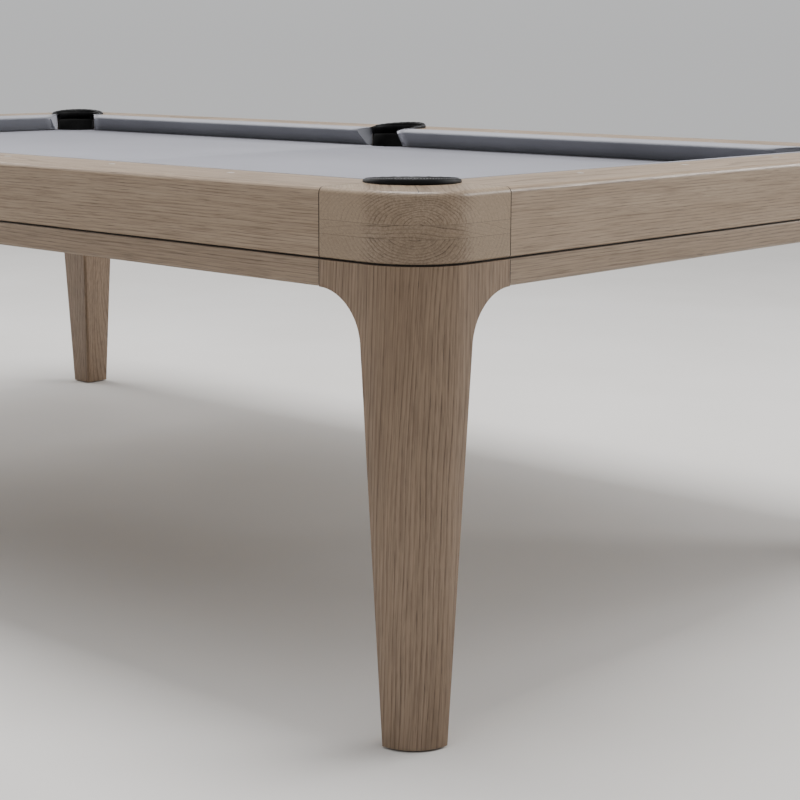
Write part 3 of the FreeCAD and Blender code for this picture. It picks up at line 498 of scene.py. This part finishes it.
def threaded_steel(corner):
    """Zinc-plated steel with a screw thread turned about the stud's own axis."""
    low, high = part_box("leveller_stud_" + corner)
    centre = (low + high) / 2
    graph = Graph("stud_thread_" + corner)
    parts = graph.split(graph.vector("SUBTRACT", graph.position, (centre.x, centre.y, 0)))
    turn = graph.math("DIVIDE", graph.math("ARCTAN2", parts[1], parts[0]), 2 * math.pi)
    pitch = 0.0015
    phase = graph.math("FRACT", graph.math("ADD", graph.math("DIVIDE", parts[2], pitch), turn))
    ridge = graph.math("ABSOLUTE", graph.math("SUBTRACT", phase, 0.5))
    above_collar = graph.math("GREATER_THAN", parts[2], low.z + 0.0045)
    ridge = graph.math("MULTIPLY", ridge, above_collar)
    tarnish = graph.noise(graph.position, 200, 4, 0.6)
    colour = graph.mix(graph.range(tarnish, 0.35, 0.75), srgb(186, 188, 192), srgb(140, 138, 132))
    colour = graph.mix(graph.math("MULTIPLY", ridge, 0.8), colour, srgb(80, 80, 80))
    return graph.finish(Base_Color=colour, Metallic=1.0,
                        Roughness=graph.range(tarnish, 0.3, 0.7, 0.28, 0.42),
                        Normal=graph.bump(ridge, 1.0, 0.0012))


def pearl():
    graph = Graph("pearl")
    sheen = graph.noise(graph.scaled(graph.position, (220, 90, 220)), 1.0, 4, 0.6)
    colour = graph.ramp(sheen, [(0.3, srgb(214, 206, 192)), (0.5, srgb(240, 236, 226)),
                                (0.7, srgb(222, 226, 226))])
    return graph.finish(Base_Color=colour, Roughness=graph.range(sheen, 0.3, 0.7, 0.12, 0.25),
                        Coat_Weight=0.6, Coat_Roughness=0.08)


def thread_material():
    graph = Graph("waxed_thread")
    twist = graph.noise(graph.position, 1500, 2)
    colour = graph.mix(graph.range(twist, 0.3, 0.7), srgb(88, 88, 92), srgb(150, 150, 154))
    return graph.finish(Base_Color=colour, Roughness=graph.range(twist, 0.3, 0.7, 0.45, 0.6),
                        Normal=graph.bump(twist, 0.4, 0.0003))


def studio_floor():
    graph = Graph("studio_floor")
    cloud = graph.noise(graph.position, 1.2, 3)
    colour = graph.mix(graph.range(cloud, 0.3, 0.7), srgb(214, 211, 207), srgb(222, 219, 216))
    return graph.finish(Base_Color=colour, Roughness=0.85)


# ------------------------------------------------------------------ materials on the CAD nodes
def set_material(node, material):
    slots = NODES[node].material_slots
    if not slots:
        NODES[node].data.materials.append(material)
        return
    for item in slots:
        item.material = material


def paint_wood():
    random.seed(11)
    for corner, (sx, sy) in CORNERS.items():
        set_material("corner_block_" + corner, block_oak("block_oak_" + corner, corner))
        shift = random.uniform(-0.010, 0.010)
        origin = (sx * (half_length - 0.118) + shift, sy * (half_width - 0.004), 0.30)
        # The legs' oak is toned darker than the rails': partly the wood's own tone, partly painted
        # shade for the light the legs lose below the rails.
        set_material("leg_" + corner,
                     oak("leg_oak_" + corner, origin, (0, 0, 1), (0, 1, 0),
                         math.radians(random.uniform(2.2, 3.2)) * -sx, 0.0062,
                         (0.66, 0.605, 0.56), 1.6, 0.03))
    for edge in EDGES:
        kind = "side" if edge in ("front", "rear") else "end"
        grain = (1, 0, 0) if kind == "side" else (0, 1, 0)
        tone = random.uniform(0.97, 1.02)
        below = edge_point(edge, 0.1, 0.07, rail_bottom - 0.26)
        set_material(kind + "_rail_" + edge,
                     oak("rail_oak_" + edge, below, grain, (0, 0, 1),
                         math.radians(random.uniform(0.4, 0.8)), 0.0048,
                         (tone * 0.88, tone * 0.865, tone * 0.845), 1.1))
        below = edge_point(edge, -0.2, 0.10, rail_bottom - 0.20)
        set_material(kind + "_apron_" + edge,
                     oak("apron_oak_" + edge, below, grain, (0, 0, 1),
                         math.radians(random.uniform(-0.8, -0.4)), 0.0052,
                         (tone * 0.73, tone * 0.705, tone * 0.68), 1.2))


def paint_frame():
    pine_light = srgb(214, 186, 142)
    pine_dark = srgb(168, 128, 82)
    along_x = softwood("pine_along", (1, 0, 0), pine_light, pine_dark, 0.009)
    along_y = softwood("pine_across", (0, 1, 0), pine_light, pine_dark, 0.009)
    plywood = softwood("birch_ply", (1, 0, 0), srgb(222, 200, 164), srgb(158, 122, 84), 0.0016)
    set_material("side_beams", along_x)
    set_material("end_beams", along_y)
    set_material("cross_beams", along_y)
    set_material("feather_strips", along_x)
    set_material("slate_liners", plywood)


def paint_hardware():
    stone = slate_stone()
    for name in ("slate_left", "slate_middle", "slate_right"):
        set_material(name, stone)
    zinc = steel("zinc_plate", srgb(178, 180, 184), srgb(140, 140, 138), 0.3)
    black = steel("black_oxide", srgb(52, 52, 54), srgb(34, 33, 33), 0.42)
    for name in ("rail_bolts", "corner_plates", "leg_brackets", "leg_bolts",
                 "bracket_screws", "slate_screws", "leveller_inserts"):
        set_material(name, zinc)
    set_material("rail_sights", pearl())
    for corner in CORNERS:
        set_material("leveller_pad_" + corner, black)
        set_material("leveller_stud_" + corner, threaded_steel(corner))


# ------------------------------------------------------------------ bed cloth
def arc_points(centre, radius, start, end, count):
    return [centre + Vector((radius * math.cos(lerp(start, end, i / count)),
                             radius * math.sin(lerp(start, end, i / count)), 0))
            for i in range(count + 1)]


def cloth_loop(fold):
    """The bed cloth's outline at bed height, and which stretches fold into pockets."""
    points = []
    folded = []
    radius = slate_hole + fold
    arc_steps = 40
    corner_spread = math.radians(100)
    order = ("front_left", "front_middle", "front_right",
             "rear_right", "rear_middle", "rear_left")
    for name in order:
        centre, inward = pocket_spot(name)
        centre = Vector((centre.x, centre.y, bed_top))
        if name in CORNERS:
            spread = corner_spread
        else:
            spread = math.pi / 2 + math.asin((abs(centre.y) - slate_half_y) / radius)
        arc = arc_points(centre, radius, inward + spread, inward - spread, arc_steps)
        before, after = [], []
        if name in CORNERS:
            sx, sy = CORNERS[name]
            before = [Vector((sx * slate_half_x, arc[0].y, bed_top))]
            after = [Vector((arc[-1].x, sy * slate_half_y, bed_top))]
            if sx * sy < 0:
                before = [Vector((arc[0].x, sy * slate_half_y, bed_top))]
                after = [Vector((sx * slate_half_x, arc[-1].y, bed_top))]
        points += before + arc + after
        folded += [False] * len(before) + [True] * (len(arc) - 1) + [False]
        folded += [False] * len(after)
    return points, folded


def make_bed_cloth(material):
    """One stretched sheet over the slates, folded down into every pocket opening."""
    fold = 0.0035
    hem = 0.020
    points, folded = cloth_loop(fold)
    bm = bmesh.new()
    loop = [bm.verts.new(p) for p in points]
    sheet = bm.faces.new(loop)
    count = len(loop)
    spots = [pocket_spot(name)[0] for name in POCKETS]

    def dropped(point, turn, depth):
        centre = min(spots, key=lambda c: (Vector((c.x, c.y)) - point.xy).length)
        outward = (point.xy - centre.xy).normalized()
        inset = fold * math.sin(turn)
        place = point.xy - outward * inset
        return Vector((place.x, place.y, bed_top - fold * (1 - math.cos(turn)) - depth))

    steps = [(math.pi / 8, 0), (math.pi / 4, 0), (3 * math.pi / 8, 0), (math.pi / 2, 0),
             (math.pi / 2, hem)]
    chains = {}
    for i, point in enumerate(points):
        if folded[i] or folded[i - 1]:
            chains[i] = [loop[i]] + [bm.verts.new(dropped(point, turn, depth))
                                     for turn, depth in steps]
    for i in range(count):
        j = (i + 1) % count
        if not folded[i]:
            continue
        for a in range(len(steps)):
            bm.faces.new((chains[i][a], chains[i][a + 1], chains[j][a + 1], chains[j][a]))
    bmesh.ops.triangulate(bm, faces=[sheet])
    obj = make_object("bed_cloth_sheet", bm, material)
    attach(obj, TABLE)
    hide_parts("bed_cloth")


# ------------------------------------------------------------------ cushions
def cushion_profile():
    """Cloth over rubber, as (depth, height) points from the cloth's outer edge round."""
    lip = 0.0011
    points = []
    edge = wood_edge - 0.0002
    back_top = nose_top + 0.0016
    for i in range(5):
        turn = math.pi / 2 * i / 4
        points.append((edge + lip * (1 - math.cos(turn)),
                       rail_top + 0.0007 - lip + lip * math.sin(turn)))
    crown = [(edge + 0.004, rail_top + 0.0009), (cushion_back, back_top),
             (lerp(cushion_back, nose, 0.30), lerp(back_top, nose_line + 0.0022, 0.24)),
             (lerp(cushion_back, nose, 0.60), lerp(back_top, nose_line + 0.0022, 0.52)),
             (lerp(cushion_back, nose, 0.85), lerp(back_top, nose_line + 0.0022, 0.85))]
    points += crown
    radius = 0.0036
    centre = (nose - radius, nose_line - 0.0014)
    for i in range(9):
        turn = math.radians(lerp(72, -38, i / 8))
        points.append((centre[0] + radius * math.cos(turn), centre[1] + radius * math.sin(turn)))
    toe = (nose - 0.0235, bed_top + 0.0085)
    points += [(lerp(points[-1][0], toe[0], t), lerp(points[-1][1], toe[1], t) + dip)
               for t, dip in ((0.25, -0.0004), (0.5, -0.0006), (0.75, -0.0004))]
    points += [toe, (nose - 0.0262, bed_top + 0.003), (nose - 0.030, cushion_base)]
    points += [(cushion_back + 0.004, cushion_base), (cushion_back + 0.0006, cushion_base + 0.003)]
    points += [(cushion_back + 0.0006, strip_low.z + 0.004),
               (cushion_back + 0.0006, back_top - 0.0018), (edge + 0.0010, back_top - 0.0014)]
    return points


def cushion_reach(node, edge):
    """Both ends of a cushion, at its nose and at its back, with the facings added."""
    spots = [edge_coordinates(edge, v.co) for v in NODES[node].data.vertices]
    deepest = max(depth for _, depth in spots)
    shallowest = min(depth for _, depth in spots)
    nose_spots = [along for along, depth in spots if deepest - depth < 1e-4]
    back_spots = [along for along, depth in spots if depth - shallowest < 1e-4]
    ends = []
    for pick, sign in ((min, -1), (max, 1)):
        tip, heel = pick(nose_spots), pick(back_spots)
        slope = (heel - tip) / (shallowest - deepest)
        tip += sign * facing * math.hypot(1, slope)
        ends.append((tip, slope))
    return ends


def cushion_station(profile, end, inset, shrink):
    """The profile on a slanting plane, moved in along the rail and drawn in a little."""
    tip, slope = end
    middle = (sum(p[0] for p in profile) / len(profile), sum(p[1] for p in profile) / len(profile))
    ring = []
    for depth, height in profile:
        pull_depth = max(-shrink, min(shrink, middle[0] - depth))
        pull_height = max(-shrink, min(shrink, middle[1] - height))
        depth = depth + pull_depth
        height = height + pull_height
        ring.append((tip + slope * (depth - nose) + inset, depth, height))
    return ring


def make_cushion(node, edge, material):
    profile = cushion_profile()
    first, last = cushion_reach(node, edge)
    radius = 0.0028
    end_steps = 4
    steps = 46
    straighten = 8

    def rounded_end(end, way):
        """Rings from the drawn-in end face to the full profile."""
        turns = [math.pi / 2 * i / end_steps for i in range(end_steps + 1)]
        return [cushion_station(profile, end, way * radius * (1 - math.sin(turn)),
                                radius * (1 - math.cos(math.pi / 2 - turn)))
                for turn in turns]

    rings = rounded_end(first, 1)
    for i in range(1, steps):
        share = i / steps
        if share < 0.5:
            bent = lerp(first[1], 0.0, ease(share * straighten))
        else:
            bent = lerp(last[1], 0.0, ease((1 - share) * straighten))
        tip = lerp(first[0] + radius, last[0] - radius, share)
        rings.append(cushion_station(profile, (tip, bent), 0, 0))
    rings += reversed(rounded_end(last, -1))
    rings = [[edge_point(edge, *p) for p in ring] for ring in rings]
    bm = bmesh.new()
    skin_rings(bm, rings, cap_start=True, cap_end=True)
    obj = make_object("cushion_cover_" + node.replace("cushion_", ""), bm, material)
    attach(obj, TABLE)
    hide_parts(node)


def cushion_nodes():
    for edge in EDGES:
        if edge in ("front", "rear"):
            for half in ("left", "right"):
                yield "cushion_" + edge + "_" + half, edge
        else:
            yield "cushion_" + edge, edge


# ------------------------------------------------------------------ pockets
def ring_point(centre, angle, radius, height):
    return Vector((centre.x + radius * math.cos(angle),
                   centre.y + radius * math.sin(angle), height))


def rim_outer(name):
    return corner_rim_outer if name in CORNERS else side_rim_outer


def rim_sweep(name):
    """Half of the arc that a pocket's rim covers, either side of its outermost point."""
    lap = cushion_back + 0.005
    if name in CORNERS:
        reach = boot_radius - boot_wall
        return math.radians(135) + math.asin((lap - corner_pocket) / reach)
    return math.radians(90) + math.asin((lap - side_pocket) / side_rim_outer)


def rim_height(name, turn):
    """Height of the crown above the rail: it leans to the bed and thins at its ends."""
    outer = rim_outer(name)
    leaning = rim_rise - 0.1 * (outer - (outer - 0.005) * math.cos(turn))
    end = ease((abs(turn) / (2 * rim_sweep(name)) - 0.38) / 0.12)
    return leaning * (1 - 0.65 * end)


def rim_section(name, height):
    """Leather rim as (radius, height above the rail): a stitched roll and a lining."""
    inner = boot_radius - boot_wall
    outer = rim_outer(name)
    width = outer - inner
    shape = ((1.00, 0.00), (1.03, 0.16), (1.02, 0.40), (0.95, 0.62), (0.86, 0.75), (0.83, 0.74),
             (0.78, 0.80), (0.64, 0.95), (0.46, 1.00), (0.26, 0.97), (0.10, 0.86), (0.01, 0.70),
             (0.00, 0.52), (0.035, 0.47), (0.035, 0.42), (0.00, 0.38), (0.00, 0.10))
    points = [(inner + width * across, height * up) for across, up in shape]
    skirt = boot_radius + 0.0003
    return points + [(inner, -0.0145), (skirt, -0.0145), (skirt, -0.0002)]


def add_stitch(bm, a, b, up, radius, slot):
    """A short rounded stitch from a to b."""
    along = (b - a).normalized()
    side = along.cross(up).normalized()
    rings = []
    for t, size, sink in ((0.0, 0.35, 1.0), (0.15, 0.85, 0.2), (0.5, 1.0, 0.0),
                          (0.85, 0.85, 0.2), (1.0, 0.35, 1.0)):
        middle = a.lerp(b, t) - up * (radius * sink)
        rings.append([middle + side * (radius * size * math.cos(k * math.pi / 3))
                      + up * (radius * size * math.sin(k * math.pi / 3)) for k in range(6)])
    skin_rings(bm, rings, cap_start=True, cap_end=True, slot=slot)


def make_rim(name, hide, thread):
    centre, inward = pocket_spot(name)
    outward = inward + math.pi
    half = rim_sweep(name)
    outer = rim_outer(name)
    width = outer - (boot_radius - boot_wall)
    core = (outer - width / 2, 0.002)
    count = 72
    round_off = 5
    rings = []
    for i in range(-round_off, count + round_off + 1):
        over = max(-i, i - count, 0) / round_off
        size = math.sqrt(max(0.0, 1 - (over * 0.98) ** 2))
        share = min(1.0, max(0.0, i / count))
        turn = half * (2 * share - 1) * (1 + 0.06 * over)
        height = rim_height(name, turn)
        ripple = 0.00025 * math.sin(turn * 23) + 0.0002 * math.sin(turn * 41 + 1)
        ring = []
        for radius, level in rim_section(name, height + ripple):
            r = core[0] + (radius - core[0]) * size
            z = core[1] + (level - core[1]) * size
            ring.append(ring_point(centre, outward + turn, r, rail_top + z))
        rings.append(ring)
    bm = bmesh.new()
    skin_rings(bm, rings, cap_start=True, cap_end=True, slot=0)
    stitch_pitch = 0.0046
    stitch_radius = 0.0006
    steps = int(2 * half * (outer - 0.14 * width) / stitch_pitch)
    bare = steps // 12
    for i in range(bare, steps - bare):
        ends = []
        for part in (0.14, 0.74):
            turn = half * (2 * (i + part) / steps - 1)
            level = rail_top + rim_height(name, turn) * 0.755
            ends.append(ring_point(centre, outward + turn, outer - 0.15 * width, level))
        outward_up = Vector((math.cos(outward + turn), math.sin(outward + turn), 1.4))
        add_stitch(bm, ends[0], ends[1], outward_up.normalized(), stitch_radius, 1)
    obj = make_object("rim_leather_" + name, bm, [hide, thread])
    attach(obj, TABLE)
    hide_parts("pocket_rim_" + name)


def make_boot(name, hide):
    """A leather cup: a pleated wall, a rolled mouth and a round base."""
    centre, inward = pocket_spot(name)
    outward = inward + math.pi
    half = rim_sweep(name)
    foot = boot_radius - 0.008
    shoulder = boot_bottom + 0.090
    mouth = bed_top - 0.0075
    count = 96

    def wall_radius(height):
        return lerp(foot, boot_radius, min(1.0, max(0.0, (height - boot_bottom)
                                                    / (shoulder - boot_bottom))))

    def top_height(angle):
        away = abs((angle - outward + math.pi) % (2 * math.pi) - math.pi)
        return lerp(boot_top, mouth, ease((away - half + 0.06) / 0.10))

    bm = bmesh.new()
    outer_levels = (0.0, 0.03, 0.10, 0.22, 0.36, 0.50, 0.64, 0.78, 0.90, 0.97, 1.0)
    rings = []
    for level in outer_levels:
        ring = []
        for i in range(count):
            angle = 2 * math.pi * i / count
            height = lerp(boot_bottom + 0.003, top_height(angle) - 0.0015, level)
            pleat = 0.0009 * math.sin(12 * angle) * math.sin(math.pi * min(1.0, level * 1.1))
            radius = wall_radius(height) - 0.0004 - abs(pleat)
            radius -= 0.003 * (1 - min(1.0, level / 0.03)) ** 2
            ring.append(ring_point(centre, angle, radius, height))
        rings.append(ring)
    lip = []
    for i in range(count):
        angle = 2 * math.pi * i / count
        lip.append(ring_point(centre, angle, boot_radius - boot_wall / 2, top_height(angle)))
    rings.append(lip)
    for level in reversed(outer_levels):
        ring = []
        for i in range(count):
            angle = 2 * math.pi * i / count
            height = lerp(boot_bottom + 0.005, top_height(angle) - 0.0015, level)
            pleat = 0.0012 * math.sin(12 * angle) * math.sin(math.pi * min(1.0, level * 1.1))
            radius = wall_radius(height) - boot_wall + 0.0003 + pleat * 0.5
            radius -= 0.003 * (1 - min(1.0, level / 0.03)) ** 2
            ring.append(ring_point(centre, angle, radius, height))
        rings.append(ring)
    floor_rings = []
    for size, dip in ((0.80, 0.0035), (0.45, 0.0028), (0.12, 0.0026)):
        floor_rings.append([ring_point(centre, 2 * math.pi * i / count, foot * size,
                                       boot_bottom + dip + 0.0008) for i in range(count)])
    under = [[ring_point(centre, 2 * math.pi * i / count, foot * size, boot_bottom + dip)
              for i in range(count)] for size, dip in ((0.12, 0.0), (0.60, 0.0), (0.90, 0.0006))]
    skin_rings(bm, under + rings + floor_rings, cap_start=True, cap_end=True, slot=0)
    obj = make_object("boot_leather_" + name, bm, hide)
    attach(obj, TABLE)
    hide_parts("pocket_boot_" + name)


# ------------------------------------------------------------------ stage, light, camera
def make_stage():
    half = 12.0
    bm = bmesh.new()
    corners = [(-half, -half), (half, -half), (half, half), (-half, half)]
    bm.faces.new([bm.verts.new((x, y, 0)) for x, y in corners])
    floor = make_object("studio_floor_plane", bm, studio_floor(), smooth=False)

    world = bpy.data.worlds.new("studio")
    bpy.context.scene.world = world
    world.use_nodes = True
    nodes = world.node_tree.nodes
    links = world.node_tree.links
    direction = nodes.new("ShaderNodeSeparateXYZ")
    links.new(nodes.new("ShaderNodeTexCoord").outputs["Generated"], direction.inputs[0])
    height = nodes.new("ShaderNodeValToRGB")
    stops = ((0.0, 0.62), (0.07, 0.66), (0.14, 0.26), (0.40, 0.26), (0.75, 0.70), (1.0, 1.50))
    while len(height.color_ramp.elements) < len(stops):
        height.color_ramp.elements.new(0.5)
    for element, (place, value) in zip(height.color_ramp.elements, stops):
        element.position = place
        element.color = (value * 0.985, value * 0.99, value, 1)
    links.new(direction.outputs[2], height.inputs[0])
    links.new(height.outputs[0], nodes["Background"].inputs[0])
    nodes["Background"].inputs[1].default_value = 1.0


def area_light(name, place, target, size, power, colour=(1, 1, 1)):
    data = bpy.data.lights.new(name, "AREA")
    data.shape = "RECTANGLE"
    data.size, data.size_y = size
    data.energy = power
    data.color = colour
    lamp = bpy.data.objects.new(name, data)
    lamp.location = place
    aim = Vector(target) - Vector(place)
    lamp.rotation_euler = aim.to_track_quat("-Z", "Y").to_euler()
    bpy.context.scene.collection.objects.link(lamp)


def make_lights():
    area_light("panel_top", (0.2, 0.1, 4.4), (0.2, 0, 0), (3.2, 1.7), 210)
    area_light("panel_right", (3.6, 4.4, 2.9), (1.3, 0, 0.8), (3.4, 1.3), 175)
    area_light("panel_left", (-5.2, -0.2, 3.3), (-0.6, 0, 0.8), (3.4, 1.6), 120)
    area_light("panel_near", (0.6, -5.5, 3.2), (0.6, -0.8, 0.6), (5.0, 2.4), 14)


def make_camera():
    """The viewing angle: yaw from -X towards +Y, a slight pitch down and a trace of roll."""
    yaw = math.radians(47.483)
    pitch = math.radians(8.633)
    roll = 0.0041
    level = Vector((-math.cos(yaw), math.sin(yaw), 0))
    right = Vector((math.sin(yaw), math.cos(yaw), 0))
    up = Vector((0, 0, math.cos(pitch))) + level * math.sin(pitch)
    ahead = level * math.cos(pitch) - Vector((0, 0, math.sin(pitch)))
    turned_right = right * math.cos(roll) + up * math.sin(roll)
    turned_up = up * math.cos(roll) - right * math.sin(roll)
    data = bpy.data.cameras.new("camera")
    data.lens = 81.2
    data.sensor_width = 36.0
    data.shift_y = -0.1
    camera = bpy.data.objects.new("camera", data)
    place = Vector((2.9648, -2.5656, 0.9952))
    turn = Matrix((turned_right, turned_up, -ahead)).transposed().to_4x4()
    camera.matrix_world = Matrix.Translation(place) @ turn
    bpy.context.scene.collection.objects.link(camera)
    bpy.context.scene.camera = camera


# ------------------------------------------------------------------ everything together
make_camera()
make_stage()
make_lights()
paint_wood()
paint_frame()
paint_hardware()

make_bed_cloth(billiard_cloth("bed_worsted", srgb(134, 134, 141), srgb(121, 121, 128)))
cover_cloth = billiard_cloth("cushion_worsted", srgb(133, 134, 139), srgb(119, 120, 125))
for cushion_node, cushion_edge in cushion_nodes():
    make_cushion(cushion_node, cushion_edge, cover_cloth)
set_material("cushion_facings", cover_cloth)

rim_hide = leather("rim_hide", srgb(12, 12, 13), 0.42, 0.0012, 0.20)
boot_hide = leather("boot_hide", srgb(13, 13, 13), 0.6, 0.0022, 0.2)
thread = thread_material()
for pocket in POCKETS:
    make_rim(pocket, rim_hide, thread)
    make_boot(pocket, boot_hide)
